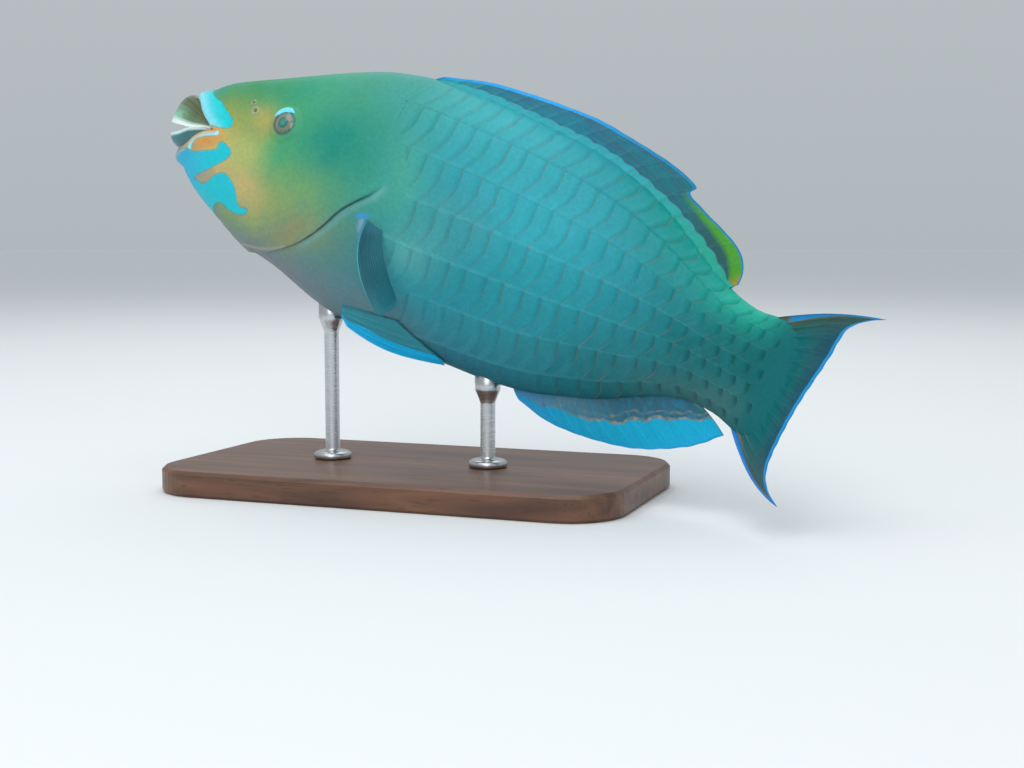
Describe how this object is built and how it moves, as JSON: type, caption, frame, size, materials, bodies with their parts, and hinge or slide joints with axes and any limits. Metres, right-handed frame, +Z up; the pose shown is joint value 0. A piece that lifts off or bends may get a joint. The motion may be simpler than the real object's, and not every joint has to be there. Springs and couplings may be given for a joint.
{
  "type": "parrotfish",
  "caption": "Life-size still model of a swimming male rusty parrotfish, head raised and tail swung to its left, held on two short rods over a flat wooden base.",
  "frame": {"origin": "centre of the display base's underside, at floor level", "axes": "+Z up, -X towards the fish's snout, -Y towards the fish's left side"},
  "size_m": [0.3553, 0.1426, 0.1956],
  "materials": {
    "skin": "wet scaled skin, turquoise with salmon scale edges, green and orange head",
    "fin": "thin wet fin membrane over rays, blue and dark teal",
    "beak": "fused tooth plate, satin, pale green to white at the cutting edge",
    "eye": "glossy wet eye with a dark pupil",
    "stand_wood": "dark stained and oiled hardwood",
    "stand_steel": "brushed stainless steel"
  },
  "bodies": {
    "root": {"head": "skin", "torso": "skin", "tail": "skin", "beak_upper": "beak", "beak_lower": "beak", "eye_left": "eye", "eye_right": "eye", "fin_dorsal": "fin", "fin_anal": "fin", "fin_caudal": "fin", "fin_pectoral_left": "fin", "fin_pectoral_right": "fin", "fin_pelvic_left": "fin", "fin_pelvic_right": "fin", "stand_base": "stand_wood", "stand_rod_front": "stand_steel", "stand_rod_rear": "stand_steel"}
  },
  "joints": []
}
